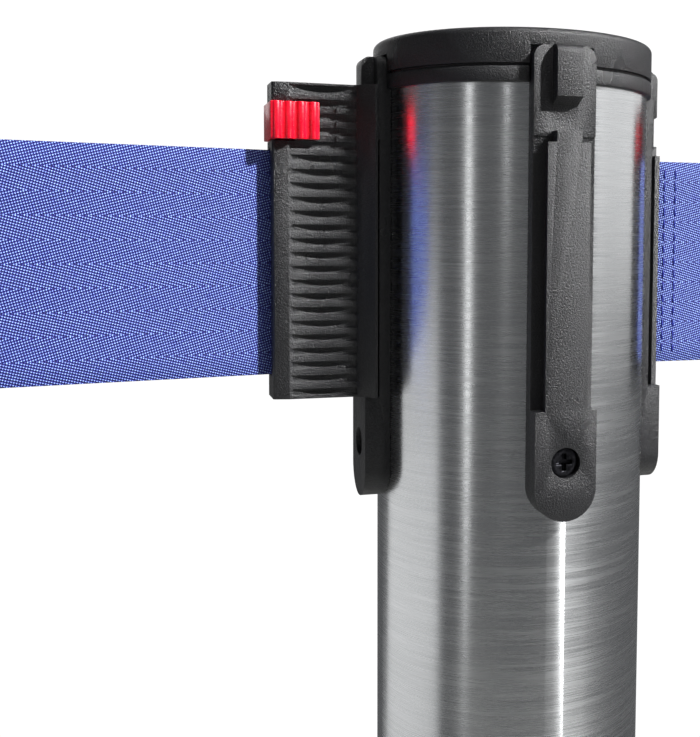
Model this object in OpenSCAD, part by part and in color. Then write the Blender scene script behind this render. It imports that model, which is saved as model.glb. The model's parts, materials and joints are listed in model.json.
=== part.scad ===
// Retractable belt stanchion: weighted base, steel post, three belt receivers and one belt outlet.
// Millimetres, +Z up, origin on the floor at the centre of the base. The own belt leaves along +X.

/* [Post] */
// Height of the cap above the floor
total_h = 1000; // [800:5:1200]
// Outside diameter of the post tube
tube_d = 63.5; // [60:0.5:80]
// Wall of the post tube
tube_wall = 1; // [0.8:0.1:2]
// How far the collar at the foot stands out past the tube
collar_out = 12.25; // [11:0.25:25]
// Height of the collar
collar_h = 10; // [6:1:20]

/* [Base] */
// Diameter of the base
base_d = 350; // [300:5:420]
// Height of the base at its centre
base_h = 25; // [22:1:40]
// Height of the base at its rim
rim_h = 10; // [8:0.5:14]
// Thickness of the rubber foot ring
foot_h = 3; // [2:0.5:5]
// Width of the rubber foot ring
foot_w = 20; // [12:1:30]
// Sheet thickness of the base cover
cover_t = 1.2; // [0.8:0.1:1.5]
// Thread diameter of the tie bolt
bolt_d = 12; // [8:1:14]

/* [Head] */
// How far the cap and ring stand out past the tube
head_lip = 1; // [0.5:0.1:2]
// Height of the cap above the groove
cap_h = 7.5; // [6:0.5:12]
// Height of the groove between cap and ring
groove_h = 0.6; // [0.4:0.1:1]
// Height of the ring below the groove
ring_h = 3.3; // [2:0.1:5]
// Edge rounding of the cap
cap_edge = 1.4; // [0.5:0.1:2]
// Moulded wall of the cap
cap_wall = 2.4; // [1.6:0.1:3]

/* [Strips] */
// Width of a strip
strip_w = 14; // [13:0.5:18]
// Wall of the plate of a strip
plate_t = 2.2; // [2:0.05:4]
// Gap behind the rail flange
rail_gap = 1.6; // [1.4:0.05:2.4]
// Thickness of the rail flange
flange_t = 1.25; // [1:0.05:2]
// Width of the rail flange
flange_w = 9.6; // [8.5:0.1:10.5]
// Width of the rail neck and of the hook
neck_w = 5.7; // [4.5:0.1:6]
// Depth of the strip top below the cap top
strip_drop = 3.9; // [2:0.1:5]
// Height of the hook
hook_h = 12.4; // [9:0.1:15]
// Slope of the hook's lower face, measured as a rise
hook_ramp = 1.7; // [0:0.1:3]
// Height of the lock gap below the hook
lock_gap = 5.4; // [4.5:0.1:8]
// Height of the tab above the rail flange
tab_h = 2.4; // [1.5:0.1:4]
// Length of the rail flange
rail_len = 56.3; // [56:0.1:70]
// Length of the strip below the rail
strip_foot = 23.7; // [22:0.1:40]
// Distance of the screw below the rail
screw_drop = 11.1; // [10:0.1:14]
// Head diameter of a strip screw
screw_head_d = 6.2; // [5:0.1:7]
// Shank diameter of a strip screw
screw_d = 3.9; // [3:0.1:4.5]

/* [Belt] */
// Width of the belt
belt_w = 50; // [44:1:50]
// Thickness of the belt
belt_t = 0.7; // [0.5:0.05:0.8]
// Height of the belt's lower edge above the foot of the rail
belt_rise = 5.2; // [4.6:0.1:6]
// Length of belt on the spool
belt_len = 2000; // [1500:50:2200]
// Length of own belt that shows when it is wound in
park_len = 19; // [12:0.2:24]
// Length of the plugged-in belt outside its clip
guest_len = 96; // [60:1:120]
// Angle at which the plugged-in belt swings to the front
guest_swing = 8; // [0:1:12]
// Length of the sewn loop at the end of the plugged-in belt
loop_len = 24; // [18:1:30]

/* [Clip] */
// Length of a clip from its channel to its belt end
clip_len = 22.6; // [22:0.1:30]
// Width of a clip across its channel
clip_w = 17; // [15:0.5:20]
// Height of a clip
clip_h = 69.8; // [69:0.2:76]
// Thickness of the grip
grip_t = 9.6; // [9:0.1:11]
// Thickness of the clip at its belt end
nose_t = 8.2; // [7.6:0.1:9]
// Number of grip fins
fins = 22; // [10:1:24]
// Spacing of the grip fins
fin_pitch = 3.05; // [2.6:0.01:3.1]
// Thickness of a grip fin
fin_t = 1.35; // [0.8:0.05:2]
// Depth of the finger scoop
scoop_depth = 1.4; // [0.6:0.1:1.6]
// Diameter of the belt pin
pin_d = 2.2; // [1.6:0.1:2.4]

/* [Lock] */
// Height of the lock slider
lock_h = 8.1; // [7:0.1:10]
// Length of the lock slider
lock_len = 10.6; // [9:0.1:12]
// Travel of the lock slider
lock_travel = 3.6; // [3:0.1:3.8]
// Wall of the lock slider outside the grip
lock_wall = 1.5; // [1.2:0.1:2]
// Ribs on each face of the lock slider
lock_ribs = 4; // [2:1:5]

/* [Cassette] */
// Radius of the bare spool core
core_r = 8; // [7:0.5:9]
// Axle diameter
axle_d = 6; // [4:0.5:7]
// Radius of the spool flanges
flange_r = 23.6; // [23.4:0.1:24]
// Wall of the cassette
shell_t = 2; // [1.5:0.1:2.4]
// Guide sleeve diameter
sleeve_d = 4; // [3.4:0.1:4.2]
// Guide pin diameter
guide_d = 2; // [1.5:0.1:2.4]
// Turns of the power spring
spring_turns = 9; // [5:1:12]
// Thickness of the power spring
spring_t = 0.4; // [0.2:0.05:0.5]
// Width of the power spring
spring_w = 15; // [10:0.5:15]

/* [Fits] */
// Running clearance on a radius
run_gap = 0.05; // [0.03:0.01:0.1]
// Assembly clearance on a radius
fit_gap = 0.15; // [0.1:0.01:0.3]
// Sliding clearance between a clip and its rail
rail_play = 0.25; // [0.2:0.01:0.35]
// Clearance around the belt
belt_play = 0.5; // [0.4:0.05:0.6]

/* [Hidden] */
$fn = 64;
eps = 0.01;
tube_r = tube_d / 2;
tube_in_r = tube_r - tube_wall;
head_r = tube_r + head_lip;
collar_r = tube_r + collar_out;
cap_z0 = total_h - cap_h;
ring_z1 = cap_z0 - groove_h;
tube_z1 = ring_z1 - ring_h;

plate_r = tube_r + plate_t;
flange_in_r = plate_r + rail_gap;
face_r = flange_in_r + flange_t;
floor_dip = 0.4;
strip_z1 = total_h - strip_drop;
hook_z0 = strip_z1 - hook_h;
tab_z1 = hook_z0 - lock_gap;
rail_z1 = tab_z1 - tab_h;
rail_z0 = rail_z1 - rail_len;
strip_z0 = rail_z0 - strip_foot;
screw_z = rail_z0 - screw_drop;
screw_head_t = 2.2;
screw_tip_r = tube_r - tube_wall - 2.7;
screw_seat_r = face_r - screw_head_t - 1;
shoulder_r = 2.5;
hook_edge = 1.8;
strip_angles = [270, 180, 90, 0];

belt_z0 = rail_z0 + belt_rise;
belt_z1 = belt_z0 + belt_w;
slot_w = belt_t + 2 * belt_play;
stop_t = 3 * belt_t;
stop_r0 = face_r + 0.3;

clip_r0 = plate_r + rail_play;
clip_r1 = clip_r0 + clip_len;
clip_z0 = rail_z0;
clip_z1 = clip_z0 + clip_h;
lip_r1 = flange_in_r - rail_play;
slot_r1 = face_r + rail_play;
block_r1 = slot_r1 + 1.4;
flare_r1 = block_r1 + 0.8;
half_grip = grip_t / 2;
nose_half = nose_t / 2;
pin_r = clip_r1 - 3.4;
pin_pocket = pin_d / 2 + belt_t + 0.12;
scoop_r0 = block_r1 - 0.2;
scoop_r1 = pin_r + 0.1;
scoop_mid = (scoop_r0 + scoop_r1) / 2;
scoop_half = (scoop_r1 - scoop_r0) / 2;
scoop_arc = (scoop_half * scoop_half + scoop_depth * scoop_depth) / (2 * scoop_depth);
fin_field = (fins + 1) * fin_pitch - fin_t;
fin_z0 = (clip_z0 + clip_z1 - fin_field) / 2;
clip_screw_d = 1.6;
clip_screw_edge = 1.6;
screw_cover = 1.2;
own_shift = stop_r0 + park_len + clip_r1;

lock_r1 = clip_r1 + 0.5;
lock_r0 = lock_r1 - lock_len;
tongue_h = lock_gap - 1.1;
tongue_z0 = tab_z1 + 0.6;
lock_z0 = tongue_z0 + tongue_h / 2 - lock_h / 2;
tongue_half = 1;
tongue_r0 = plate_r + lock_travel + 0.6;
track_play = 0.3;
track_dip = 0.6;
lock_in = half_grip - track_dip + track_play;
lock_out = lock_in + lock_wall;
web_r0 = lock_r1 - 1.5;
rib_d = lock_len / lock_ribs - 0.5;
rib_y = lock_in + max(rib_d / 2, lock_wall - 0.5);
notch_r0 = web_r0 - lock_travel - track_play;

seat_r = tube_in_r - fit_gap;
shell_in_r = seat_r - shell_t;
sleeve_r = sleeve_d / 2;
sleeve_y = sleeve_r + belt_t / 2 + 0.1;
sleeve_x = shell_in_r - 2.4;
spool_gap = 0.5;
flange_z0 = belt_z0 - spool_gap - 2;
flange_z1 = belt_z1 + spool_gap;
spool_z1 = flange_z1 + 2;
lid_z0 = spool_z1 + 1;
lid_t = 2.5;
lid_z1 = lid_z0 + lid_t;
lid_head_h = 1.2;
head_space = lid_z1 + lid_head_h + 0.4;
cup_z0 = flange_z0 - 20.5;
cup_wall = 1.6;
bush_t = 1.3;
bush_flange_t = 0.8;
bush_len = 12;
arbor_z1 = flange_z0 - bush_flange_t;
floor_t = 3;
shell_z0 = cup_z0 - 3 - floor_t;
arbor_z0 = shell_z0 + floor_t;
arbor_r = core_r - 1.5;
axle_head_r = axle_d / 2 + 2.5;
axle_head_t = 2.5;
roll_r = sqrt(core_r * core_r + belt_len * belt_t / PI);
lid_screw_r = shell_in_r - 1.9;
lid_screw_d = 1.8;
lid_screw_angles = [60, 180, 300];
pin_groove_r = core_r - 1.5;
anchor_d = 2.4;

base_r = base_d / 2;
weight_r = base_r - cover_t - 0.3;
dome_rise = base_h - rim_h;
dome_r = (base_r * base_r + dome_rise * dome_rise) / (2 * dome_rise);
dome_z = base_h - dome_r;
tube_z0 = base_h;
bolt_head_h = 0.65 * bolt_d;
washer_t = 2.5;
head_z0 = foot_h + 1;
washer_z0 = head_z0 + bolt_head_h;
plug_h = 20;
bolt_z1 = tube_z0 + plug_h + 6;

// Extrudes an outline (tangent, height) along the radius from r0 to r1.
module radial(r0, r1) {
    translate([r0, 0, 0]) rotate([90, 0, 90]) linear_extrude(r1 - r0) children();
}

// Extrudes an outline (radius, height) evenly to both sides of the plane y = 0.
module across(w) {
    rotate([90, 0, 0]) linear_extrude(w, center = true) children();
}

module tube_between(r_out, r_in, z0, z1) {
    translate([0, 0, z0]) difference() {
        cylinder(r = r_out, h = z1 - z0);
        translate([0, 0, -1]) cylinder(r = r_in, h = z1 - z0 + 2);
    }
}

// ---- Base ----

module dome_disc(grow) {
    translate([0, dome_z]) circle(r = dome_r + grow, $fn = 256);
}

module base_ring() {
    color("#1b1b1b") rotate_extrude($fn = 128) {
        translate([base_r - foot_w, 0]) square([foot_w - 1, foot_h]);
        translate([base_r - 1 - eps, 1]) square([1 + eps, foot_h - 1]);
        translate([base_r - 1, 1]) circle(r = 1);
    }
}

module base_weight() {
    color("#3a3a3c") difference() {
        rotate_extrude($fn = 128) intersection() {
            dome_disc(-cover_t - 0.2);
            translate([0, foot_h]) square([weight_r, base_h]);
        }
        translate([0, 0, foot_h - 1]) cylinder(r = bolt_d, h = washer_z0 + washer_t - foot_h + 1);
        cylinder(r = bolt_d / 2 + 0.5, h = base_h + 1);
    }
}

module base_cover() {
    color("#b9babc") rotate_extrude($fn = 128) {
        difference() {
            intersection() {
                dome_disc(0);
                translate([bolt_d / 2 + 0.5, foot_h]) square([base_r - bolt_d / 2 - 0.5, base_h]);
            }
            intersection() {
                dome_disc(-cover_t);
                translate([0, foot_h - 1]) square([base_r - cover_t, base_h]);
            }
        }
    }
}

module tie_washer() {
    color("#a9abad") tube_between(bolt_d - 0.5, bolt_d / 2 + 0.3, washer_z0, washer_z0 + washer_t);
}

module tie_bolt() {
    color("#9c9ea0") {
        translate([0, 0, head_z0]) cylinder(r = bolt_d * 0.85, h = bolt_head_h, $fn = 6);
        translate([0, 0, head_z0]) cylinder(d = bolt_d, h = bolt_z1 - head_z0);
    }
}

module tube_plug() {
    color("#4b4c4e") difference() {
        translate([0, 0, tube_z0]) cylinder(r = tube_in_r, h = plug_h);
        translate([0, 0, tube_z0 - 1]) cylinder(d = bolt_d, h = plug_h + 2);
        difference() {
            translate([0, 0, tube_z0 + 6]) cylinder(r = tube_in_r - 4, h = plug_h);
            translate([0, 0, tube_z0]) cylinder(d = bolt_d + 10, h = plug_h + 8);
        }
    }
}

module post_collar() {
    color("#b9babc") rotate_extrude($fn = 128) difference() {
        union() {
            translate([tube_r + fit_gap, base_h - 2]) square([collar_out - fit_gap, 2 + collar_h / 2]);
            translate([tube_r + fit_gap, base_h]) square([collar_out - fit_gap - collar_h / 2, collar_h]);
            translate([collar_r - collar_h / 2, base_h + collar_h / 2]) circle(r = collar_h / 2);
        }
        dome_disc(0.05);
    }
}

// ---- Post and head ----

module post_tube() {
    color("#b4b5b7") difference() {
        tube_between(tube_r, tube_in_r, tube_z0, tube_z1);
        for (a = strip_angles)
            rotate([0, 0, a]) translate([tube_r - 5, 0, screw_z]) rotate([0, 90, 0])
                cylinder(d = screw_d + 0.4, h = 10);
        translate([tube_r - 5, -slot_w / 2 - 0.5, belt_z0 - 1]) cube([10, slot_w + 1, belt_w + 2]);
    }
}

module strip_notches(z0, z1) {
    for (a = strip_angles)
        rotate([0, 0, a]) translate([0, -strip_w / 2 - fit_gap, z0])
            difference() {
                translate([tube_r - 5, 0, 0]) cube([20, strip_w + 2 * fit_gap, z1 - z0]);
                translate([0, strip_w / 2 + fit_gap, -1]) cylinder(r = tube_r - 0.02, h = z1 - z0 + 2);
            }
}

module head_ring() {
    color("#161617") difference() {
        union() {
            tube_between(head_r, tube_in_r - 3, tube_z1, ring_z1);
            tube_between(seat_r, tube_in_r - 3, head_space, tube_z1 + eps);
        }
        strip_notches(tube_z1 - 1, ring_z1 + 1);
    }
}

module cap() {
    color("#18181a") difference() {
        rotate_extrude($fn = 128) {
            translate([0, cap_z0]) square([head_r - cap_edge, cap_h]);
            translate([0, cap_z0]) square([head_r, cap_h - cap_edge]);
            translate([head_r - cap_edge, total_h - cap_edge]) circle(r = cap_edge);
            translate([0, ring_z1]) square([head_r - 0.9, groove_h + eps]);
            translate([tube_in_r - 5.2, head_space]) square([2.2, cap_z0 - head_space + eps]);
        }
        translate([0, 0, lid_z1]) cylinder(r = tube_in_r - 5.2, h = total_h - cap_wall - lid_z1);
        strip_notches(ring_z1 - 1, strip_z1 + fit_gap);
    }
}

// ---- Strips: plate, T-rail, lock gap and hook ----

module plate_outline(top) {
    translate([0, strip_z0 + strip_w / 2]) circle(d = strip_w);
    translate([-strip_w / 2, strip_z0 + strip_w / 2]) square([strip_w, top - strip_z0 - strip_w / 2 - shoulder_r]);
    translate([shoulder_r - strip_w / 2, top - shoulder_r - eps]) square([strip_w - 2 * shoulder_r, shoulder_r + eps]);
    for (s = [-1, 1])
        translate([s * (strip_w / 2 - shoulder_r), top - shoulder_r]) circle(r = shoulder_r);
}

module foot_outline() {
    translate([0, strip_z0 + strip_w / 2]) circle(d = strip_w);
    translate([-strip_w / 2, strip_z0 + strip_w / 2]) square([strip_w, rail_z0 - strip_z0 - strip_w / 2]);
}

module hook_profile() {
    polygon([
        [plate_r - 1, hook_z0], [plate_r, hook_z0], [face_r, hook_z0 + hook_ramp], [face_r, strip_z1 - hook_edge],
        [face_r - hook_edge, strip_z1], [plate_r - 1, strip_z1]
    ]);
    translate([face_r - hook_edge, strip_z1 - hook_edge]) circle(r = hook_edge);
}

module strip() {
    difference() {
        union() {
            radial(tube_r - 2, plate_r) plate_outline(strip_z1);
            radial(plate_r - 1, face_r) foot_outline();
            translate([plate_r - 1, -neck_w / 2, rail_z0 - 1])
                cube([rail_gap + 1 + eps, neck_w, rail_len + 1 + eps]);
            translate([flange_in_r, -flange_w / 2, rail_z0 - 1]) cube([flange_t, flange_w, rail_len + 1]);
            translate([plate_r - 1, -neck_w / 2, rail_z1]) cube([face_r - plate_r + 1, neck_w, tab_h]);
            across(neck_w) hook_profile();
        }
        for (s = [-1, 1])
            translate([plate_r - floor_dip, s > 0 ? neck_w / 2 : -neck_w / 2 - strip_w, rail_z0])
                cube([floor_dip + eps, strip_w, rail_len + tab_h * 0.6]);
        cylinder(r = tube_r, h = total_h, $fn = 128);
        translate([tube_r - 5, 0, screw_z]) rotate([0, 90, 0]) cylinder(d = screw_d + 0.3, h = 20);
        translate([screw_seat_r, 0, screw_z]) rotate([0, 90, 0]) cylinder(d = screw_head_d + 0.4, h = 20);
    }
}

module receiver_front() color("#1a1a1b") rotate([0, 0, 270]) strip();

module receiver_left() color("#1a1a1b") rotate([0, 0, 180]) strip();

module receiver_back() color("#1a1a1b") rotate([0, 0, 90]) strip();

module belt_outlet() {
    color("#1a1a1b") difference() {
        strip();
        translate([tube_r - 5, -slot_w / 2, belt_z0 - 0.4]) cube([20, slot_w, belt_w + 0.8]);
    }
}

module strip_screws() {
    color("#2a2a2c")
        for (a = strip_angles)
            rotate([0, 0, a]) translate([0, 0, screw_z]) difference() {
                union() {
                    translate([screw_seat_r, 0, 0]) rotate([0, 90, 0]) cylinder(d = screw_head_d, h = screw_head_t);
                    translate([screw_tip_r, 0, 0]) rotate([0, 90, 0]) cylinder(d = screw_d, h = screw_seat_r - screw_tip_r + eps);
                }
                for (t = [0, 90])
                    translate([screw_seat_r + screw_head_t - 1.3, 0, 0]) rotate([t, 0, 0])
                        translate([0, -screw_head_d * 0.3, -0.5]) cube([2, screw_head_d * 0.6, 1]);
            }
}

// ---- Cassette ----

module boss_ring() {
    for (a = strip_angles)
        rotate([0, 0, a]) translate([seat_r - 4.6, 0, screw_z]) rotate([0, 90, 0]) cylinder(d = 8.4, h = 4);
    for (a = lid_screw_angles)
        rotate([0, 0, a]) translate([lid_screw_r, 0, shell_z0]) cylinder(r = 2, h = lid_z0 - shell_z0);
}

module cassette_shell() {
    color("#5b5d60") difference() {
        intersection() {
            union() {
                tube_between(seat_r, shell_in_r, shell_z0, lid_z0);
                translate([0, 0, shell_z0]) cylinder(r = seat_r, h = floor_t);
                boss_ring();
            }
            translate([0, 0, shell_z0 - 1]) cylinder(r = seat_r, h = lid_z0 - shell_z0 + 2);
        }
        for (a = strip_angles)
            rotate([0, 0, a]) translate([seat_r - 10, 0, screw_z]) rotate([0, 90, 0]) cylinder(d = screw_d, h = 20);
        for (a = lid_screw_angles)
            rotate([0, 0, a]) translate([lid_screw_r, 0, lid_z0 - 9]) cylinder(d = lid_screw_d, h = 10);
        translate([sleeve_x - 3, -3.4, belt_z0 - 1]) cube([12, 6.8, belt_w + 2]);
        translate([0, 0, shell_z0 - 1]) cylinder(d = axle_d, h = floor_t + 2);
        guide_holes(shell_z0 - 1, shell_z0 + floor_t + 1);
        guide_relief();
    }
}

// Room for the sleeves where they reach into the wall.
module guide_relief() {
    for (s = [-1, 1])
        translate([sleeve_x, s * sleeve_y, shell_z0 + floor_t]) cylinder(r = sleeve_r + 0.4, h = lid_z0 - shell_z0);
}

module guide_holes(z0, z1) {
    for (s = [-1, 1])
        translate([sleeve_x, s * sleeve_y, z0]) cylinder(d = guide_d, h = z1 - z0);
}

module cassette_lid() {
    color("#66686b") difference() {
        translate([0, 0, lid_z0]) cylinder(r = seat_r, h = lid_t);
        translate([0, 0, lid_z0 - 1]) cylinder(d = axle_d, h = lid_t + 2);
        guide_holes(lid_z0 - 1, lid_z1 + 1);
        for (a = lid_screw_angles)
            rotate([0, 0, a]) translate([lid_screw_r, 0, lid_z0 - 1]) cylinder(d = lid_screw_d + 0.3, h = lid_t + 2);
    }
}

module cassette_screws() {
    color("#8f9194")
        for (a = lid_screw_angles)
            rotate([0, 0, a]) translate([lid_screw_r, 0, 0]) {
                translate([0, 0, lid_z0 - 7]) cylinder(d = lid_screw_d, h = lid_t + 7 + eps);
                translate([0, 0, lid_z1]) cylinder(d = 3.4, h = lid_head_h);
            }
}

module axle() {
    color("#b0b2b5") {
        translate([0, 0, shell_z0 - axle_head_t]) cylinder(r = axle_head_r, h = axle_head_t);
        translate([0, 0, shell_z0 - eps]) cylinder(d = axle_d, h = lid_z1 - shell_z0 + 0.8);
    }
}

module spring_arbor() {
    color("#c9a24b") tube_between(arbor_r, axle_d / 2, arbor_z0, arbor_z1);
}

function spiral(r0, r1, turns, side) = [
    for (i = [0 : turns * 32])
        let (k = side > 0 ? i : turns * 32 - i, r = r0 + (r1 - r0) * k / (turns * 32) + side * spring_t / 2)
            [r * cos(k * 11.25), r * sin(k * 11.25)]
];

module power_spring() {
    spring_r0 = arbor_r + spring_t;
    spring_r1 = flange_r - cup_wall - spring_t;
    color("#707880") translate([0, 0, cup_z0 + 2])
        linear_extrude(spring_w)
            polygon(concat(spiral(spring_r0, spring_r1, spring_turns, 1), spiral(spring_r0, spring_r1, spring_turns, -1)));
}

module spool() {
    color("#e3e3df") difference() {
        union() {
            translate([0, 0, flange_z0]) cylinder(r = flange_r, h = 2);
            translate([0, 0, flange_z0]) cylinder(r = core_r, h = spool_z1 - flange_z0);
            translate([0, 0, flange_z1]) cylinder(r = flange_r, h = 2);
            tube_between(flange_r, flange_r - cup_wall, cup_z0, flange_z0 + eps);
        }
        translate([0, 0, flange_z0 - 1]) cylinder(r = axle_d / 2 + run_gap + bush_t, h = spool_z1);
        translate([pin_groove_r, 0, belt_z0 - 0.4]) cylinder(d = anchor_d + 0.3, h = belt_w + 0.8);
        translate([pin_groove_r, -0.6, belt_z0 - 0.4]) cube([core_r, 1.2, belt_w + 0.8]);
    }
}

module bush(z_flange, z_sleeve) {
    bore = axle_d / 2 + run_gap;
    tube_between(arbor_r, bore, z_flange, z_flange + bush_flange_t);
    tube_between(bore + bush_t, bore, z_sleeve, z_sleeve + bush_len);
}

module lower_bush() color("#b98b3e") bush(flange_z0 - bush_flange_t, flange_z0 - eps);

module upper_bush() color("#b98b3e") bush(spool_z1, spool_z1 + eps - bush_len);

module anchor_pin() {
    color("#9c9ea0") translate([pin_groove_r, 0, belt_z0]) cylinder(d = anchor_d, h = belt_w);
}

module belt_roll() {
    color("#2333b8") tube_between(roll_r, core_r, belt_z0, belt_z1);
}

// Belt path from the roll round the guide sleeve and out through the slot.
module belt_run() {
    lay_r = roll_r + belt_t / 2 + 0.02;
    bend_r = sleeve_y;
    reach = norm([sleeve_x, sleeve_y]);
    turn = atan2(sleeve_y, sleeve_x) + acos((lay_r + bend_r) / reach);
    leave = lay_r * [cos(turn), sin(turn)];
    meet = [sleeve_x, sleeve_y] - bend_r * [cos(turn), sin(turn)];
    n = [cos(turn), sin(turn)] * belt_t / 2;
    color("#2333b8") translate([0, 0, belt_z0]) linear_extrude(belt_w) {
        polygon([leave - n, meet - n, meet + n, leave + n]);
        difference() {
            intersection() {
                translate([sleeve_x, sleeve_y]) circle(r = bend_r + belt_t / 2);
                translate([sleeve_x, sleeve_y])
                    polygon([[0, 0], -9 * [cos(turn), sin(turn)], [-9, -9], [0, -9]]);
            }
            translate([sleeve_x, sleeve_y]) circle(r = bend_r - belt_t / 2);
        }
        translate([sleeve_x - eps, -belt_t / 2]) square([stop_r0 - sleeve_x + eps, belt_t]);
    }
}

module guide_pins() color("#a8aaad") guide_holes(shell_z0, lid_z1);

module guide_sleeves() {
    color("#d8d8d2")
        for (s = [-1, 1])
            translate([sleeve_x, s * sleeve_y, 0]) tube_between(sleeve_r, guide_d / 2, belt_z0 - 1, belt_z1 + 1);
}

// ---- Clip, drawn docked on a rail that faces +X ----

module clip_outline() {
    half = [
        [clip_r0, clip_w / 2], [clip_r0 + 0.6, clip_w / 2], [clip_r0 + 1.6, clip_w / 2 - 1.1],
        [slot_r1, flange_w / 2 + 1.5], [block_r1, half_grip + 0.3], [flare_r1, half_grip],
        [pin_r, half_grip - 0.1], [clip_r1 - 0.4, nose_half], [clip_r1, nose_half - 0.4]
    ];
    polygon(concat(half, [for (i = [len(half) - 1 : -1 : 0]) [half[i][0], -half[i][1]]]));
}

module rail_channel() {
    translate([clip_r0 - 1, -neck_w / 2 - rail_play, clip_z0 - 1])
        cube([slot_r1 - clip_r0 + 1, neck_w + 2 * rail_play, clip_h + 2]);
    translate([lip_r1, -flange_w / 2 - rail_play, clip_z0 - 1])
        cube([slot_r1 - lip_r1, flange_w + 2 * rail_play, clip_h + 2]);
}

module lock_space() {
    translate([slot_r1 - 1, -tongue_half - track_play / 2, tongue_z0 - track_play / 2])
        cube([clip_len, 2 * tongue_half + track_play, tongue_h + track_play]);
    translate([notch_r0, -clip_w, lock_z0 - track_play]) cube([clip_len, 2 * clip_w, lock_h + 2 * track_play]);
    for (s = [-1, 1])
        translate([lock_r0 - lock_travel - track_play, s > 0 ? half_grip - track_dip : -half_grip - 2, lock_z0 - track_play])
            cube([clip_len, 2 + track_dip, lock_h + 2 * track_play]);
}

module scoop_gap() {
    intersection() {
        translate([scoop_mid, half_grip + scoop_arc - scoop_depth]) circle(r = scoop_arc, $fn = 128);
        translate([scoop_r0, half_grip - 2 * scoop_depth]) square([2 * scoop_half, 4 * scoop_depth]);
    }
}

module scoops() {
    for (i = [0 : fins])
        translate([0, 0, fin_z0 + i * fin_pitch]) linear_extrude(fin_pitch - fin_t) scoop_gap();
}

module belt_pocket() {
    translate([pin_r, 0, belt_z0 - 0.4]) cylinder(r = pin_pocket, h = belt_w + 0.8);
    translate([pin_r, -stop_t / 2 - 0.15, belt_z0 - 0.4]) cube([clip_len, stop_t + 0.3, belt_w + 0.8]);
}

module clip_screw_places() {
    for (p = [[flare_r1 + 1.5, clip_z0 + clip_screw_edge], [pin_r - 1.5, clip_z0 + clip_screw_edge],
              [flare_r1 + 1.5, clip_z1 - clip_screw_edge], [pin_r - 1.5, clip_z1 - clip_screw_edge]])
        translate([p[0], 0, p[1]]) rotate([90, 0, 0]) children();
}

// side 1 is the half at +Y, side -1 the half at -Y, which takes the screw heads.
module clip_shell(side) {
    difference() {
        intersection() {
            translate([0, 0, clip_z0]) linear_extrude(clip_h) clip_outline();
            translate([clip_r0 - 1, side > 0 ? 0 : -clip_w, clip_z0 - 1]) cube([clip_len + 2, clip_w, clip_h + 2]);
        }
        rail_channel();
        lock_space();
        belt_pocket();
        if (side > 0) scoops();
        if (side < 0) mirror([0, 1, 0]) scoops();
        clip_screw_places() cylinder(d = clip_screw_d, h = 2 * (half_grip - screw_cover), center = true);
        if (side < 0) clip_screw_places() translate([0, 0, half_grip - 1.2]) cylinder(d = 2.7, h = clip_w);
    }
}

module clip_screw_set() {
    clip_screw_places() {
        translate([0, 0, 2 - half_grip]) cylinder(d = clip_screw_d, h = 2 * half_grip - 3.2 + eps);
        translate([0, 0, half_grip - 1.2]) cylinder(d = 2.6, h = 0.8);
    }
}

module belt_pin() translate([pin_r, 0, belt_z0]) cylinder(d = pin_d, h = belt_w);

module lock_body() {
    difference() {
        union() {
            for (s = [-1, 1])
                translate([lock_r0, s > 0 ? lock_in : -lock_out, lock_z0]) cube([lock_len, lock_wall, lock_h]);
            translate([web_r0, -lock_out, lock_z0]) cube([lock_r1 - web_r0, 2 * lock_out, lock_h]);
            translate([tongue_r0, -tongue_half, tongue_z0]) cube([web_r0 - tongue_r0 + eps, 2 * tongue_half, tongue_h]);
            for (s = [-1, 1], i = [0 : lock_ribs - 1])
                translate([lock_r0 + (i + 0.5) * lock_len / lock_ribs, s * rib_y, lock_z0]) cylinder(d = rib_d, h = lock_h);
        }
        for (s = [-1, 1])
            translate([lock_r0 - 1, s > 0 ? 0 : -lock_in, tongue_z0 + tongue_h])
                cube([web_r0 - lock_r0 + 1, lock_in, lock_h]);
    }
}

module docked_left() rotate([0, 0, 180]) children();

module parked_right() translate([own_shift, 0, 0]) rotate([0, 0, 180]) children();

module sewn_end(r0, r1, layers) {
    translate([r0, -layers * belt_t / 2, belt_z0]) cube([r1 - r0, layers * belt_t, belt_w]);
}

module pin_loop() {
    translate([pin_r, 0, belt_z0]) difference() {
        union() {
            cylinder(r = pin_d / 2 + belt_t, h = belt_w);
            translate([0, -stop_t / 2, 0]) cube([clip_r1 - pin_r + eps, stop_t, belt_w]);
        }
        translate([0, 0, -1]) cylinder(d = pin_d, h = belt_w + 2);
    }
}

module belt_stop() {
    color("#2333b8") {
        parked_right() pin_loop();
        sewn_end(stop_r0, stop_r0 + park_len + eps, 3);
    }
}

module clip_front() color("#1a1a1b") parked_right() clip_shell(1);

module clip_back() color("#1a1a1b") parked_right() clip_shell(-1);

module clip_pin() color("#a8aaad") parked_right() belt_pin();

module clip_screws() color("#8f9194") parked_right() clip_screw_set();

module lock_slider() color("#d3122a") parked_right() lock_body();

module swung() {
    translate([clip_r1, 0, 0]) rotate([0, 0, guest_swing]) translate([-clip_r1, 0, 0]) children();
}

module guest_belt() {
    loop_r = clip_r1 + guest_len;
    color("#2333b8") docked_left() {
        pin_loop();
        swung() {
            sewn_end(clip_r1 - 0.4, loop_r, 1);
            sewn_end(clip_r1 - 0.4, clip_r1 + 6, 3);
            difference() {
                union() {
                    sewn_end(loop_r - loop_len, loop_r, 2);
                    translate([loop_r, 0, belt_z0]) cylinder(r = pin_d / 2 + belt_t, h = belt_w);
                }
                translate([loop_r, 0, belt_z0 - 1]) cylinder(d = pin_d, h = belt_w + 2);
            }
        }
    }
}

module guest_clip_front() color("#1a1a1b") docked_left() clip_shell(1);

module guest_clip_back() color("#1a1a1b") docked_left() clip_shell(-1);

module guest_pin() color("#a8aaad") docked_left() belt_pin();

module guest_screws() color("#8f9194") docked_left() clip_screw_set();

module guest_lock() color("#d3122a") docked_left() lock_body();

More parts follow.
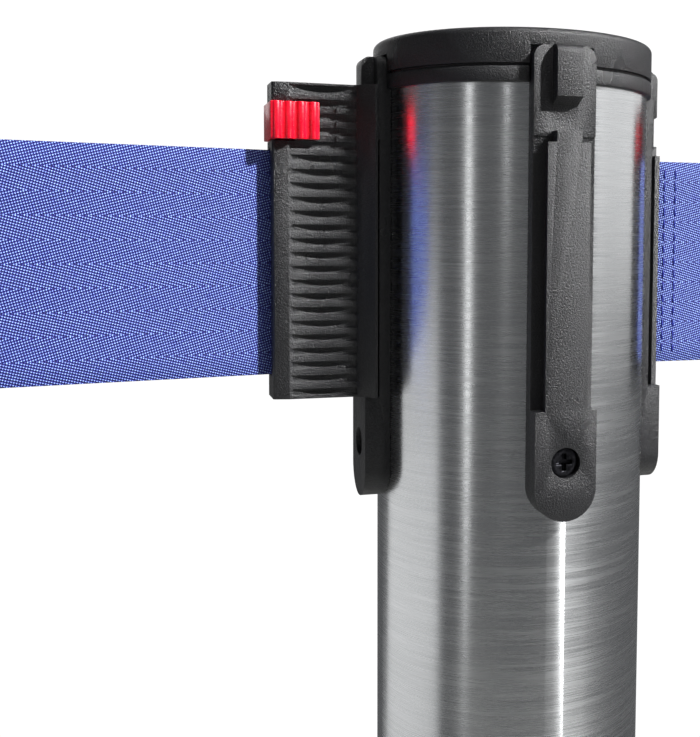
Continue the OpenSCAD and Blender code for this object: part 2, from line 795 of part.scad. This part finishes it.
base_ring();
base_weight();
base_cover();
tie_washer();
tie_bolt();
tube_plug();
post_collar();
post_tube();
head_ring();
cap();
cassette_shell();
cassette_lid();
cassette_screws();
axle();
spring_arbor();
power_spring();
spool();
lower_bush();
upper_bush();
anchor_pin();
belt_roll();
belt_run();
guide_pins();
guide_sleeves();
receiver_front();
receiver_left();
receiver_back();
belt_outlet();
strip_screws();
belt_stop();
clip_front();
clip_back();
clip_pin();
clip_screws();
lock_slider();
guest_belt();
guest_clip_front();
guest_clip_back();
guest_pin();
guest_screws();
guest_lock();
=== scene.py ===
"""Retractable belt stanchion: finishes, bevels and webbing on the CAD frame, with camera, light and floor."""

import json
import math

import bpy
from mathutils import Matrix, Vector

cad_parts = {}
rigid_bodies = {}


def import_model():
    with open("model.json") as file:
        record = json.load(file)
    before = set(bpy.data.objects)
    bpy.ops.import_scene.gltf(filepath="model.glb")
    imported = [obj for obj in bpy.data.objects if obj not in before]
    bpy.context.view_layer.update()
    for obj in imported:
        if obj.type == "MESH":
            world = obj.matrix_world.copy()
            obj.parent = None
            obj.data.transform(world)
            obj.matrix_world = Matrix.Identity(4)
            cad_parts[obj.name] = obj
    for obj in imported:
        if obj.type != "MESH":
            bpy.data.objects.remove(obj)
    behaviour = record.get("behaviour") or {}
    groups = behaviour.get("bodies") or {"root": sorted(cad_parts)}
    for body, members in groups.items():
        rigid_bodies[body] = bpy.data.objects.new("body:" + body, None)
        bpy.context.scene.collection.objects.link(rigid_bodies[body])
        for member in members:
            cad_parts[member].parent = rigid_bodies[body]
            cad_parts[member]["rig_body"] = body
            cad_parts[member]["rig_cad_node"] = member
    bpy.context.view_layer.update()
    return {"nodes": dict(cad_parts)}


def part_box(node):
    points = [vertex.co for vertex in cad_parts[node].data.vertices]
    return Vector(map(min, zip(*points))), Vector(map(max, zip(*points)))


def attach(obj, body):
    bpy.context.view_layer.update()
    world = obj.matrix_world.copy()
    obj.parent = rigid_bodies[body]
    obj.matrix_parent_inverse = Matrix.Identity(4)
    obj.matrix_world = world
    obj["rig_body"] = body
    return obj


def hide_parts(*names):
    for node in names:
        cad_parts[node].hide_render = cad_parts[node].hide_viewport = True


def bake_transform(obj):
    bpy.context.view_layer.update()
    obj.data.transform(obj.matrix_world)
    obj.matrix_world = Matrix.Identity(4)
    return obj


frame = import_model()
bpy.ops.object.select_all(action="DESELECT")

MM = 0.001

# ---- Camera: close to the head, left of the front strip, looking down about 4 degrees ----

CAMERA_AZIMUTH = math.radians(-19.241)
CAMERA_DIP = math.radians(4.16)
CAMERA_ROLL = math.radians(0.532)
CAMERA_PLACE = (-0.0884, -0.2542, 0.9584)

lens = bpy.data.cameras.new("camera")
lens.lens = 54.78
lens.sensor_width = 36
lens.shift_x = -0.219
lens.shift_y = -0.0821
lens.clip_start = 0.01
camera = bpy.data.objects.new("camera", lens)
bpy.context.scene.collection.objects.link(camera)
camera.matrix_world = (
    Matrix.Translation(CAMERA_PLACE)
    @ Matrix.Rotation(CAMERA_AZIMUTH, 4, "Z")
    @ Matrix.Rotation(math.radians(90) - CAMERA_DIP, 4, "X")
    @ Matrix.Rotation(CAMERA_ROLL, 4, "Z")
)
bpy.context.scene.camera = camera
# Colours come out as they are written, without the softer curve that Blender starts with.
bpy.context.scene.view_settings.view_transform = "Standard"

# ---- Light ----

POST_HEAD = Vector((0, 0, 0.95))


def toward(azimuth, elevation, distance):
    """A place seen from the post's head; azimuth 0 is the front, 90 the right."""
    a, e = math.radians(azimuth), math.radians(elevation)
    direction = Vector((math.sin(a) * math.cos(e), -math.cos(a) * math.cos(e), math.sin(e)))
    return POST_HEAD + distance * direction


def lamp(name, azimuth, elevation, distance, width, height, watts):
    """A rectangular studio lamp that faces the post's head."""
    light = bpy.data.lights.new(name, "AREA")
    light.shape = "RECTANGLE"
    light.size, light.size_y, light.energy = width, height, watts
    lamp_object = bpy.data.objects.new(name, light)
    bpy.context.scene.collection.objects.link(lamp_object)
    place = toward(azimuth, elevation, distance)
    turn = (place - POST_HEAD).to_track_quat("Z", "Y").to_matrix().to_4x4()
    lamp_object.matrix_world = Matrix.Translation(place) @ turn


# Name, azimuth and elevation in degrees, distance, width and height in metres, watts.
LAMPS = [
    ("key", 44, 38, 2.0, 0.12, 0.12, 100),
    ("overhead", 0, 80, 1.4, 0.3, 0.2, 4.5),
    ("glint", 29, -16, 1.6, 0.10, 0.5, 1.6),
    ("left_strip", -54, -2, 1.6, 0.09, 0.9, 0.7),
    ("near_strip", -23, 14, 1.6, 0.05, 0.3, 0.25),
    ("left_floor", -112, -20, 1.5, 1.8, 0.8, 3.4),
    ("right_wall", 88, 12, 1.8, 2.4, 1.0, 6.5),
    ("back_wall", 180, 25, 2.4, 2.0, 1.6, 8),
]
for lamp_values in LAMPS:
    lamp(*lamp_values)


def srgb(code):
    """Linear colour from a hex sRGB code."""
    parts = [int(code[i : i + 2], 16) / 255 for i in (1, 3, 5)]
    return tuple(p / 12.92 if p <= 0.04045 else ((p + 0.055) / 1.055) ** 2.4 for p in parts) + (1.0,)


def add(tree, kind, links=None, **settings):
    """Adds a node; links gives its inputs a socket or a value, settings its own properties."""
    made = tree.nodes.new(kind)
    for name, value in settings.items():
        setattr(made, name, value)
    for name, value in (links or {}).items():
        if isinstance(value, bpy.types.NodeSocket):
            tree.links.new(value, made.inputs[name])
        else:
            made.inputs[name].default_value = value
    return made


world = bpy.data.worlds.new("studio")
world.use_nodes = True
world.node_tree.nodes.clear()
bpy.context.scene.world = world
room = add(world.node_tree, "ShaderNodeBackground", {"Color": srgb("#e8eaee"), "Strength": 0.12})
paper = add(world.node_tree, "ShaderNodeBackground", {"Color": srgb("#ffffff"), "Strength": 1.05})
path = add(world.node_tree, "ShaderNodeLightPath")
seen = add(
    world.node_tree,
    "ShaderNodeMixShader",
    {0: path.outputs["Is Camera Ray"], 1: room.outputs[0], 2: paper.outputs[0]},
)
add(world.node_tree, "ShaderNodeOutputWorld", {"Surface": seen.outputs[0]})


# ---- Finishes ----


def new_finish(name):
    """An empty material of that name and its node tree."""
    made = bpy.data.materials.new(name)
    made.use_nodes = True
    made.node_tree.nodes.clear()
    return made, made.node_tree


# Most of a noise pattern lies between these two values.
NOISE_SPAN = (0.3, 0.7)


def pattern(tree, period_mm, detail, rough=0.5):
    """Noise on the object's own coordinates; period_mm is the lumps' width, one for all axes or one for each."""
    periods = period_mm if isinstance(period_mm, tuple) else (period_mm,) * 3
    where = add(tree, "ShaderNodeTexCoord")
    scaled = add(
        tree,
        "ShaderNodeMapping",
        {"Vector": where.outputs["Object"], "Scale": tuple(1000 / period for period in periods)},
    )
    noise = add(
        tree,
        "ShaderNodeTexNoise",
        {"Vector": scaled.outputs[0], "Scale": 1.0, "Detail": detail, "Roughness": rough},
    )
    return noise.outputs["Fac"]


def coat_of(tree, tint, tones, sheen, gloss, relief, depth_mm, **inputs):
    """Shader and output: tint shades between the tones, sheen sets the roughness, relief the bumps.

    gloss is roughness from, roughness to, and the two pattern values that they stand at.
    """
    ramp = add(tree, "ShaderNodeValToRGB", {"Fac": tint})
    for stop, tone, position in zip(ramp.color_ramp.elements, tones, NOISE_SPAN):
        stop.position, stop.color = position, srgb(tone)
    smooth, dull, start, end = gloss
    roughness = add(
        tree,
        "ShaderNodeMapRange",
        {"Value": sheen, "From Min": start, "From Max": end, "To Min": smooth, "To Max": dull},
    )
    bump = add(tree, "ShaderNodeBump", {"Height": relief, "Strength": 1.0, "Distance": depth_mm * MM})
    shader = add(
        tree,
        "ShaderNodeBsdfPrincipled",
        {
            "Base Color": ramp.outputs["Color"],
            "Roughness": roughness.outputs[0],
            "Normal": bump.outputs[0],
            **{name.replace("_", " "): value for name, value in inputs.items()},
        },
    )
    add(tree, "ShaderNodeOutputMaterial", {"Surface": shader.outputs[0]})


def brushed_stainless():
    """Stainless steel tube, belt-brushed round the post: fine lines spread each reflection up and down.

    Real lines are finer than 0.1 mm; these are 0.22 mm apart so that they show.
    """
    made, tree = new_finish("brushed_stainless")
    fine = pattern(tree, (14, 14, 0.22), 2, 0.6)
    coarse = pattern(tree, (60, 60, 1.1), 2)
    round_post = add(tree, "ShaderNodeTangent", direction_type="RADIAL", axis="Z")
    lines = add(tree, "ShaderNodeMath", {0: fine, 1: coarse}, operation="ADD").outputs[0]
    coat_of(
        tree,
        fine,
        ("#cdcfd0", "#e2e3e4"),
        lines,
        (0.24, 0.30, 0.7, 1.3),
        lines,
        0.0011,
        Metallic=1.0,
        Anisotropic=0.75,
        Anisotropic_Rotation=0.25,
        Tangent=round_post.outputs[0],
    )
    return made


# Spacing of the spun cover's rings in millimetres.
SPIN_PITCH = 0.5


def spun_stainless():
    """Stainless steel sheet, spun on a lathe: faint rings round the middle and a soft glow."""
    made, tree = new_finish("spun_stainless")
    where = add(tree, "ShaderNodeTexCoord").outputs["Object"]
    parts = add(tree, "ShaderNodeSeparateXYZ", {0: where})
    flat = add(tree, "ShaderNodeCombineXYZ", {0: parts.outputs[0], 1: parts.outputs[1]})
    reach = add(tree, "ShaderNodeVectorMath", {0: flat.outputs[0]}, operation="LENGTH").outputs["Value"]
    ring = add(tree, "ShaderNodeMath", {0: reach, 1: 1 / (SPIN_PITCH * MM)}, operation="MULTIPLY").outputs[0]
    rings = add(
        tree, "ShaderNodeTexNoise", {"W": ring, "Scale": 1.0, "Detail": 3.0}, noise_dimensions="1D"
    ).outputs["Fac"]
    wear = pattern(tree, 90, 2, 0.5)
    round_post = add(tree, "ShaderNodeTangent", direction_type="RADIAL", axis="Z")
    coat_of(
        tree,
        rings,
        ("#c4c6c7", "#d4d6d7"),
        wear,
        (0.27, 0.31, *NOISE_SPAN),
        rings,
        0.005,
        Metallic=1.0,
        Anisotropic=0.6,
        Anisotropic_Rotation=0.25,
        Tangent=round_post.outputs[0],
    )
    return made


def sparked_abs(name, tones, roughness, depth_mm, pit_mm):
    """Moulded ABS from a spark-eroded mould: matt, with fine pits that catch the light as specks.

    Real pits are about 0.1 mm wide; pit_mm is coarser so that they show, and their edges are painted paler as a
    highlight for the specks of light that they catch.
    """
    made, tree = new_finish(name)
    pits = pattern(tree, pit_mm, 3, 0.75)
    flow = pattern(tree, 9, 2)
    gloss = (roughness - 0.05, roughness + 0.06, *NOISE_SPAN)
    # The pit pattern sets the relief and also the colour: its paler tone is a painted highlight for the glinting
    # specks.
    coat_of(tree, pits, tones, flow, gloss, pits, depth_mm, IOR=1.53)
    return made


def glossy_red_abs():
    """Red ABS from a polished mould: strong clear colour and a wet-looking highlight on each rib."""
    made, tree = new_finish("glossy_red_abs")
    cloud = pattern(tree, 2.2, 3)
    orange_peel = pattern(tree, 0.7, 2)
    coat_of(
        tree,
        cloud,
        ("#e00324", "#f20a2e"),
        orange_peel,
        (0.26, 0.36, *NOISE_SPAN),
        orange_peel,
        0.02,
        IOR=1.53,
        Coat_Weight=0.25,
        Coat_Roughness=0.12,
    )
    return made


# The weave in millimetres: width of a chevron band, spacing of its rows, spacing of the dots along a row.
WEAVE_BAND = 5.0
WEAVE_ROW = 0.6
WEAVE_PICK = 0.55
# Slope of the rows, and how far a dot shifts along the belt from one row to the next.
WEAVE_SLOPE = 0.3
WEAVE_SHIFT = -0.25
# Height of the dots and of the yarn's unevenness beside the rows' height of 1.
PICK_HEIGHT = 0.7
YARN_HEIGHT = 0.9
# The summed heights at which the two end colours stand; the darkest end is painted shade in the hollows between
# rows, the palest a painted highlight on the thread crossings.
WEAVE_DEEPEST = -1.2
WEAVE_HIGHEST = 2.1


def herringbone_webbing():
    """Woven polyester webbing: chevron bands of royal blue; each thread crossing gets a small pale dot of
    painted highlight, and the hollows between rows get painted shade.
    """
    made, tree = new_finish("herringbone_webbing")
    where = add(tree, "ShaderNodeTexCoord").outputs["Object"]
    parts = add(tree, "ShaderNodeSeparateXYZ", {0: where})
    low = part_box("guest_belt")[0][2]
    u = add(tree, "ShaderNodeMath", {0: parts.outputs[0], 1: 1 / MM}, operation="MULTIPLY").outputs[0]
    above = add(tree, "ShaderNodeMath", {0: parts.outputs[2], 1: low}, operation="SUBTRACT").outputs[0]
    v = add(tree, "ShaderNodeMath", {0: above, 1: 1 / MM}, operation="MULTIPLY").outputs[0]
    fold = add(tree, "ShaderNodeMath", {0: v, 1: WEAVE_BAND}, operation="PINGPONG").outputs[0]
    waves = []
    rows = (u, WEAVE_SLOPE, fold, WEAVE_ROW)
    picks = (fold, WEAVE_SHIFT, u, WEAVE_PICK)
    for base, slope, other, spacing in (rows, picks):
        slanted = {0: base, 1: slope, 2: other}
        across = add(tree, "ShaderNodeMath", slanted, operation="MULTIPLY_ADD").outputs[0]
        count = add(tree, "ShaderNodeMath", {0: across, 1: spacing}, operation="DIVIDE").outputs[0]
        turn = add(tree, "ShaderNodeMath", {0: count, 1: 2 * math.pi}, operation="MULTIPLY").outputs[0]
        waves.append(add(tree, "ShaderNodeMath", {0: turn}, operation="COSINE").outputs[0])
    row_wave, pick_wave = waves
    dotted = {0: pick_wave, 1: PICK_HEIGHT, 2: row_wave}
    dots = add(tree, "ShaderNodeMath", dotted, operation="MULTIPLY_ADD").outputs[0]
    yarn = pattern(tree, (0.9, 0.9, 0.35), 2)
    spun = {0: yarn, 1: YARN_HEIGHT, 2: dots}
    uneven = add(tree, "ShaderNodeMath", spun, operation="MULTIPLY_ADD").outputs[0]
    # The weave's height turned into painted light: low parts shaded, high parts lit.
    painted_light_level = add(
        tree,
        "ShaderNodeMapRange",
        {
            "Value": uneven,
            "From Min": WEAVE_DEEPEST,
            "From Max": WEAVE_HIGHEST,
            "To Min": 0.0,
            "To Max": 1.0,
        },
    ).outputs[0]
    ramp = add(tree, "ShaderNodeValToRGB", {"Fac": painted_light_level})
    shades = ramp.color_ramp
    # Darkest stop: painted shade in the weave's hollows. Palest stop: painted highlight on the thread crossings.
    # The two middle stops are the blue dye.
    shades.elements[0].position, shades.elements[0].color = 0.0, srgb("#02023c")
    shades.elements[1].position, shades.elements[1].color = 1.0, srgb("#b8dcff")
    shades.elements.new(0.54).color = srgb("#030880")
    shades.elements.new(0.7).color = srgb("#0e20a8")
    bump = add(tree, "ShaderNodeBump", {"Height": uneven, "Strength": 1.0, "Distance": 0.05 * MM})
    shader = add(
        tree,
        "ShaderNodeBsdfPrincipled",
        {
            "Base Color": ramp.outputs["Color"],
            "Roughness": 0.62,
            "IOR": 1.5,
            "Sheen Weight": 0.04,
            "Sheen Roughness": 0.5,
            "Normal": bump.outputs[0],
        },
    )
    add(tree, "ShaderNodeOutputMaterial", {"Surface": shader.outputs[0]})
    return made


def metal(name, tones, low, high, grain_mm, depth_mm):
    """Bare or plated metal with one pattern in its colour, its gloss and its relief."""
    made, tree = new_finish(name)
    patches = pattern(tree, grain_mm, 4, 0.6)
    coat_of(tree, patches, tones, patches, (low, high, *NOISE_SPAN), patches, depth_mm, Metallic=1.0)
    return made


def plain_polymer(name, tones, roughness, ior, grain_mm, depth_mm, through=0.0):
    """Moulded or turned polymer; through is how far light enters it."""
    made, tree = new_finish(name)
    patches = pattern(tree, grain_mm, 3, 0.6)
    coat_of(
        tree,
        patches,
        tones,
        patches,
        (roughness - 0.06, roughness + 0.08, *NOISE_SPAN),
        patches,
        depth_mm,
        IOR=ior,
        Subsurface_Weight=through,
        Subsurface_Scale=0.002,
    )
    return made


FINISHES = {
    "post_steel": brushed_stainless(),
    "cover_steel": spun_stainless(),
    # The paler of these tones is painted highlight on the pits.
    "black_abs": sparked_abs("sparked_black_abs", ("#030304", "#232326"), 0.32, 0.22, 0.4),
    "red_lock": glossy_red_abs(),
    "blue_webbing": herringbone_webbing(),
    # Moulded natural rubber: deep matt black with a dusty bloom.
    "foot_rubber": plain_polymer("moulded_rubber", ("#121212", "#232322"), 0.8, 1.52, 1.5, 0.05),
    # Sand-cast grey iron: rough dark skin with the sand's grain.
    "cast_weight": metal("sand_cast_iron", ("#3a3a3c", "#565658"), 0.55, 0.75, 1.2, 0.15),
    # Zinc-plated steel: pale bluish metal with a faint crystal patch pattern.
    "zinc_steel": metal("zinc_plated_steel", ("#a9adb2", "#c5c8cc"), 0.28, 0.42, 2.5, 0.01),
    # Black-oxide screw steel: near black with a dull metal edge.
    "black_screw": metal("black_oxide_steel", ("#1c1c1e", "#343438"), 0.32, 0.46, 0.6, 0.01),
    # The paler of these tones is painted highlight on the pits.
    "grey_abs": sparked_abs("sparked_grey_abs", ("#5c5e61", "#6c6e71"), 0.5, 0.04, 0.8),
    # Turned natural acetal: milky white that light enters a little way.
    "natural_pom": plain_polymer("natural_acetal", ("#dcdcd4", "#efefe8"), 0.38, 1.48, 4, 0.01, 0.2),
    # Sintered bronze, oil filled: dull brown-gold with open pores.
    "sintered_bronze": metal("sintered_bronze", ("#7d5c28", "#b98b3e"), 0.4, 0.6, 0.3, 0.03),
    # Blued spring strip: dark steel with a blue temper colour.
    "spring_steel": metal("blued_spring_steel", ("#2c3440", "#4a5564"), 0.25, 0.38, 3, 0.005),
}

SLOTS = {
    "post_steel": ["post_tube"],
    "cover_steel": ["base_cover", "post_collar"],
    "black_abs": [
        "head_ring", "cap", "receiver_front", "receiver_left", "receiver_back", "belt_outlet",
        "clip_front", "clip_back", "guest_clip_front", "guest_clip_back",
    ],
    "red_lock": ["lock_slider", "guest_lock"],
    "blue_webbing": ["belt_roll", "belt_run", "belt_stop", "guest_belt"],
    "foot_rubber": ["base_ring"],
    "cast_weight": ["base_weight"],
    "zinc_steel": [
        "tie_washer", "tie_bolt", "cassette_screws", "axle", "anchor_pin", "guide_pins",
        "clip_pin", "clip_screws", "guest_pin", "guest_screws",
    ],
    "black_screw": ["strip_screws"],
    "grey_abs": ["cassette_shell", "cassette_lid", "tube_plug"],
    "natural_pom": ["spool", "guide_sleeves"],
    "sintered_bronze": ["lower_bush", "upper_bush", "spring_arbor"],
    "spring_steel": ["power_spring"],
}
slot_of = {}
for slot_name, members in SLOTS.items():
    for member in members:
        slot_of[member] = slot_name
        skin = frame["nodes"][member].data.materials
        skin.clear()
        skin.append(FINISHES[slot_name])


# ---- Moulded pieces: the CAD solids with their edges broken ----


def only(piece):
    """Selects one piece and nothing else."""
    bpy.ops.object.select_all(action="DESELECT")
    bpy.context.view_layer.objects.active = piece
    piece.select_set(True)


def apply_modifier(piece, kind, **settings):
    """Puts a modifier of that kind on the piece and applies it."""
    modifier = piece.modifiers.new(kind.lower(), kind)
    for name, value in settings.items():
        setattr(modifier, name, value)
    only(piece)
    bpy.ops.object.modifier_apply(modifier=modifier.name)


def finish_piece(piece, slot_name, body):
    """Gives the piece the finish of its slot, and its body."""
    piece.data.materials.clear()
    piece.data.materials.append(FINISHES[slot_name])
    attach(piece, body)


# The pieces whose edges are rounded, by the body that they ride on.
MOULDED = {
    "root": [
        "head_ring", "cap", "receiver_front", "receiver_left", "receiver_back", "belt_outlet", "strip_screws",
    ],
    "belt_end": ["clip_front", "clip_back"],
    "own_lock": ["lock_slider"],
    "guest_end": ["guest_clip_front", "guest_clip_back"],
    "guest_lock_unit": ["guest_lock"],
}
body_of = {node: body for body, members in MOULDED.items() for node in members}


def broken_edges(node, width_mm):
    """A copy of a CAD node with its edges rounded by width_mm, in the node's stead."""
    source = frame["nodes"][node]
    piece = source.copy()
    piece.data = source.data.copy()
    piece.name = node + "_moulded"
    piece.parent = None
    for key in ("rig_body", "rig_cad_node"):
        if key in piece:
            del piece[key]
    bpy.context.scene.collection.objects.link(piece)
    only(piece)
    bpy.ops.object.mode_set(mode="EDIT")
    bpy.ops.mesh.select_all(action="SELECT")
    bpy.ops.mesh.remove_doubles(threshold=0.003 * MM)
    bpy.ops.mesh.dissolve_limited(angle_limit=math.radians(0.5))
    bpy.ops.object.mode_set(mode="OBJECT")
    apply_modifier(
        piece,
        "BEVEL",
        width=width_mm * MM,
        segments=2,
        limit_method="ANGLE",
        angle_limit=math.radians(32),
        use_clamp_overlap=True,
        miter_outer="MITER_ARC",
    )
    bpy.ops.object.shade_smooth_by_angle(angle=math.radians(35))
    finish_piece(piece, slot_of[node], body_of[node])
    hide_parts(node)


# Edge rounding of each moulded piece and of the screws, in millimetres.
EDGE_WIDTHS = {
    "head_ring": 0.3,
    "cap": 0.3,
    "receiver_front": 0.35,
    "receiver_left": 0.35,
    "receiver_back": 0.35,
    "belt_outlet": 0.35,
    "strip_screws": 0.12,
    "clip_front": 0.28,
    "clip_back": 0.28,
    "guest_clip_front": 0.28,
    "guest_clip_back": 0.28,
    "lock_slider": 0.3,
    "guest_lock": 0.3,
}
for node_name, edge in EDGE_WIDTHS.items():
    broken_edges(node_name, edge)

# ---- Webbing ----

# Sizes of the belts and clips, as in the CAD.
BELT_T = 0.7 * MM
BELT_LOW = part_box("guest_belt")[0][2]
BELT_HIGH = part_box("guest_belt")[1][2]
CLIP_END = 56.8 * MM
PIN_R = 53.4 * MM
TURN_R = (2.2 / 2 + 0.7 / 2) * MM
SWING = math.radians(8)
GUEST_OUT = 96 * MM
FOLD_BACK = 6 * MM
LOOP_BACK = 24 * MM
STOP_START = 37.1 * MM
OWN_SHIFT = 112.9 * MM


def arc(centre, radius, start, end, count):
    """Points of an arc from start to end degrees."""
    turns = [math.radians(start + (end - start) * i / count) for i in range(count + 1)]
    return [(centre[0] + radius * math.cos(t), centre[1] + radius * math.sin(t)) for t in turns]


def line(start, end, step):
    """Points from start to end no further apart than step, without the first."""
    count = max(1, math.ceil(math.dist(start, end) / step))
    return [tuple(s + (e - s) * i / count for s, e in zip(start, end)) for i in range(1, count + 1)]


def webbing(name, path, rows=10):
    """A strip of belt on edge along a path of (x, y) points in metres, BELT_T thick."""
    bpy.ops.object.select_all(action="DESELECT")
    bpy.ops.mesh.primitive_plane_add(size=MM, location=(path[0][0], path[0][1], BELT_LOW))
    strip = bpy.context.object
    strip.name = name
    bpy.ops.object.mode_set(mode="EDIT")
    bpy.ops.mesh.select_all(action="SELECT")
    bpy.ops.mesh.merge(type="CENTER")
    for near, far in zip(path, path[1:]):
        step = (far[0] - near[0], far[1] - near[1], 0)
        bpy.ops.mesh.extrude_vertices_move(TRANSFORM_OT_translate={"value": step})
    bpy.ops.mesh.select_all(action="SELECT")
    for _ in range(rows):
        rise = (BELT_HIGH - BELT_LOW) / rows
        bpy.ops.mesh.extrude_edges_move(TRANSFORM_OT_translate={"value": (0, 0, rise)})
    bpy.ops.mesh.select_all(action="SELECT")
    bpy.ops.mesh.normals_make_consistent(inside=False)
    bpy.ops.object.mode_set(mode="OBJECT")
    bpy.ops.object.transform_apply(location=True, rotation=True, scale=True)
    apply_modifier(strip, "SOLIDIFY", thickness=BELT_T, offset=0, use_even_offset=True)
    apply_modifier(
        strip, "BEVEL", width=0.15 * MM, segments=2, limit_method="ANGLE", angle_limit=math.radians(60)
    )
    bpy.ops.object.shade_smooth_by_angle(angle=math.radians(40))
    return strip


def swung(along, aside):
    """A place on the plugged-in belt: along its length from the clip, aside from its middle, in the frame."""
    x = CLIP_END + along * math.cos(SWING) - aside * math.sin(SWING)
    y = along * math.sin(SWING) + aside * math.cos(SWING)
    return (-x, -y)


def turned(points):
    """The points turned half round the post, from the right side to the left."""
    return [(-x, -y) for x, y in points]


LAYER = BELT_T + 0.02 * MM
round_pin = turned(arc((PIN_R, 0), TURN_R, 300, 60, 16))
fold_start = [swung(FOLD_BACK, -LAYER), swung(FOLD_BACK / 2, -LAYER), swung(0.3 * MM, -LAYER)]
main_run = [swung(0.2 * MM, 0)] + line(swung(0.2 * MM, 0), swung(GUEST_OUT - LOOP_BACK, 0), 4 * MM)
lead_in = line(swung(GUEST_OUT - LOOP_BACK, 0), swung(GUEST_OUT - LOOP_BACK + 3 * MM, -LAYER / 2), MM)
loop_side = line(
    swung(GUEST_OUT - LOOP_BACK + 3 * MM, -LAYER / 2), swung(GUEST_OUT - 3 * MM, -LAYER / 2), 4 * MM
)
loop_turn = [
    swung(GUEST_OUT + TURN_R * math.cos(math.radians(t)), TURN_R * math.sin(math.radians(t)))
    for t in range(-120, 121, 15)
]
loop_back = [swung(GUEST_OUT - 3 * MM, LAYER / 2)] + line(
    swung(GUEST_OUT - 3 * MM, LAYER / 2), swung(GUEST_OUT - LOOP_BACK, LAYER / 2), 4 * MM
)
guest_path = fold_start + round_pin + main_run + lead_in + loop_side + loop_turn + loop_back
guest_web = webbing("guest_webbing", guest_path)
finish_piece(guest_web, "blue_webbing", "guest_end")
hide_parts("guest_belt")


own_end = OWN_SHIFT - CLIP_END
own_turn = [(OWN_SHIFT - x, -y) for x, y in arc((PIN_R, 0), TURN_R, 60, 300, 16)]
stop_path = (
    [(STOP_START + 0.4 * MM, LAYER)]
    + line((STOP_START + 0.4 * MM, LAYER), (own_end, LAYER), 4 * MM)
    + own_turn[::-1]
    + [(own_end, -LAYER)]
    + line((own_end, -LAYER), (STOP_START + 0.4 * MM, -LAYER), 4 * MM)
)
stop_web = webbing("stop_webbing", stop_path)
finish_piece(stop_web, "blue_webbing", "belt_end")
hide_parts("belt_stop")

CORE_R = 8.0 * MM
ROLL_R = 22.57 * MM
SLEEVE = (26.2 * MM, 2.45 * MM)
LEAVE_TURN = 20.57
LAY_R = ROLL_R + 0.37 * MM
lay = (LAY_R * math.cos(math.radians(LEAVE_TURN)), LAY_R * math.sin(math.radians(LEAVE_TURN)))
round_sleeve = arc(SLEEVE, SLEEVE[1], 180 + LEAVE_TURN, 270, 8)
run_path = (
    [lay]
    + round_sleeve
    + line(round_sleeve[-1], (STOP_START, 0), 2 * MM)
    + line((STOP_START, 0), (STOP_START + MM, 0), 0.25 * MM)
    + line((STOP_START + MM, 0), (own_end - MM, 0), 4 * MM)
)
run_web = webbing("run_webbing", run_path)
run_web.data.materials.append(FINISHES["blue_webbing"])
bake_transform(run_web)
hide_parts("belt_run")

TURNS = (ROLL_R - CORE_R) / BELT_T
POINTS_A_TURN = 40
roll_path = [
    (
        (CORE_R + BELT_T * (0.5 + i / POINTS_A_TURN)) * math.cos(2 * math.pi * i / POINTS_A_TURN),
        (CORE_R + BELT_T * (0.5 + i / POINTS_A_TURN)) * math.sin(2 * math.pi * i / POINTS_A_TURN),
    )
    for i in range(int((TURNS - 1) * POINTS_A_TURN) + 1)
]
roll_web = webbing("roll_webbing", roll_path, rows=1)
finish_piece(roll_web, "blue_webbing", "spool_unit")
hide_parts("belt_roll")

# ---- Stitches: rows of doubled thread across each fold, standing a little proud of the webbing ----

STITCH_LEN = 2.2 * MM
STITCH_GAP = 0.9 * MM
STITCH_T = 0.45 * MM
# Distance of the rows from the open end of each fold, and of the last row from the clip.
LOOP_SEAMS = (5 * MM, 8 * MM, 16 * MM)
STOP_SEAMS = (3 * MM, 6 * MM)
CLIP_SEAM = 3 * MM


def bonded_thread():
    """Twisted bonded polyester sewing thread: dark blue, slightly waxy, with a fine diagonal twist."""
    made, tree = new_finish("bonded_thread")
    twist = pattern(tree, (0.3, 0.3, 0.15), 2)
    coat_of(tree, twist, ("#060c58", "#1a2a9c"), twist, (0.4, 0.55, *NOISE_SPAN), twist, 0.04, IOR=1.5)
    return made


THREAD = bonded_thread()


def stitches(name, rows, body):
    """Upright rows of stitches at the (x, y) places given, on the webbing's height."""
    count = int((BELT_HIGH - BELT_LOW - 3 * MM) / (STITCH_LEN + STITCH_GAP))
    bpy.ops.object.select_all(action="DESELECT")
    made = []
    for x, y in rows:
        for i in range(count):
            z = BELT_LOW + 2 * MM + (i + 0.5) * (STITCH_LEN + STITCH_GAP)
            bpy.ops.mesh.primitive_cylinder_add(
                vertices=8, radius=STITCH_T / 2, depth=STITCH_LEN, location=(x, y, z)
            )
            made.append(bpy.context.object)
    for piece in made:
        piece.select_set(True)
    bpy.ops.object.join()
    seam = bpy.context.object
    seam.name = name
    bpy.ops.object.transform_apply(location=True, rotation=True, scale=True)
    apply_modifier(
        seam, "BEVEL", width=0.16 * MM, segments=2, limit_method="ANGLE", angle_limit=math.radians(60)
    )
    bpy.ops.object.shade_smooth_by_angle(angle=math.radians(60))
    seam.data.materials.clear()
    seam.data.materials.append(THREAD)
    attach(seam, body)
    return seam


PROUD = LAYER / 2 + BELT_T / 2
loop_rows = [
    swung(GUEST_OUT - LOOP_BACK + along, side * PROUD) for along in LOOP_SEAMS for side in (-1, 1)
]
guest_seam = stitches("guest_stitches", loop_rows, "guest_end")
stop_rows = [
    (x, side * (LAYER + BELT_T / 2))
    for x in (*(STOP_START + along for along in STOP_SEAMS), own_end - CLIP_SEAM)
    for side in (-1, 1)
]
stop_seam = stitches("stop_stitches", stop_rows, "belt_end")

# ---- Floor: small enough to stay below the main view ----

FLOOR_SIZE = 2.2

bpy.ops.object.select_all(action="DESELECT")
bpy.ops.mesh.primitive_plane_add(size=FLOOR_SIZE, location=(0, 0, 0))
floor = bpy.context.object
floor.name = "floor"
painted, painted_tree = new_finish("painted_screed")
cloud = pattern(painted_tree, 60, 3)
sand = pattern(painted_tree, 2, 2)
coat_of(painted_tree, cloud, ("#bcbcb9", "#bebebb"), sand, (0.68, 0.72, *NOISE_SPAN), sand, 0.05)
floor.data.materials.append(painted)
